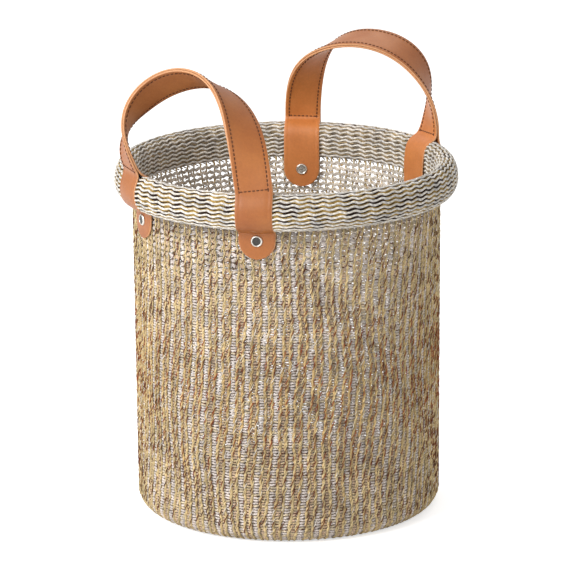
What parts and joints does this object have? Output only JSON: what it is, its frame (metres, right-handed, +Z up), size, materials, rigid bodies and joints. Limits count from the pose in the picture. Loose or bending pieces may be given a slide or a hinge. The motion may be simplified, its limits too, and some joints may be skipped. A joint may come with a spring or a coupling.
{
  "type": "storage basket",
  "caption": "Round woven storage basket with a fat rolled rim and stitched leather loop handles riveted through the wall.",
  "frame": {"origin": "on the floor under the centre of the basket", "axes": "+Z up along the basket's axis; the front handle is on the -Y side and the back handle on the +Y side"},
  "size_m": [0.335, 0.335, 0.4582],
  "materials": {
    "wall_weave": "open chain-knit yarn, ochre and brown cords over pearl grey cross yarns",
    "base_weave": "the same knit, laid flat",
    "rim_weave": "inner face of the knit, wavy pearl and straw yarns",
    "padding": "soft fibre filling",
    "hoop_wire": "plain wire",
    "seam_thread": "waxed sewing thread",
    "leather": "smooth tan leather, soft sheen, lighter cut edges",
    "stitch_thread": "dark brown waxed thread",
    "rivet_metal": "plated, bevelled edge and flat middle"
  },
  "bodies": {
    "basket": {"back_end_stitching": "stitch_thread", "back_left_inner_tab": "leather", "back_left_outer_tab": "leather", "back_left_rivet": "rivet_metal", "back_left_rivet_back": "rivet_metal", "back_right_inner_tab": "leather", "back_right_outer_tab": "leather", "back_right_rivet": "rivet_metal", "back_right_rivet_back": "rivet_metal", "base_corner": "wall_weave", "base_disc": "base_weave", "base_seam": "seam_thread", "front_end_stitching": "stitch_thread", "front_left_inner_tab": "leather", "front_left_outer_tab": "leather", "front_left_rivet": "rivet_metal", "front_left_rivet_back": "rivet_metal", "front_right_inner_tab": "leather", "front_right_outer_tab": "leather", "front_right_rivet": "rivet_metal", "front_right_rivet_back": "rivet_metal", "rim_hoop": "hoop_wire", "rim_padding": "padding", "rim_roll": "rim_weave", "rim_seam": "seam_thread", "wall_weave": "wall_weave"},
    "front_handle": {"front_handle_inner_strap": "leather", "front_handle_outer_strap": "leather", "front_handle_stitching": "stitch_thread"},
    "back_handle": {"back_handle_inner_strap": "leather", "back_handle_outer_strap": "leather", "back_handle_stitching": "stitch_thread"}
  },
  "joints": [
    {"name": "front_handle_swing", "type": "hinge", "parent": "basket", "child": "front_handle", "pos_m": [-0.00572, -0.14243, 0.357], "axis": [0.9992, -0.0401, 0], "range_deg": [-30, 30]},
    {"name": "back_handle_swing", "type": "hinge", "parent": "basket", "child": "back_handle", "pos_m": [-0.00547, 0.14244, 0.357], "axis": [-0.9993, -0.0384, 0], "range_deg": [-30, 30]}
  ]
}
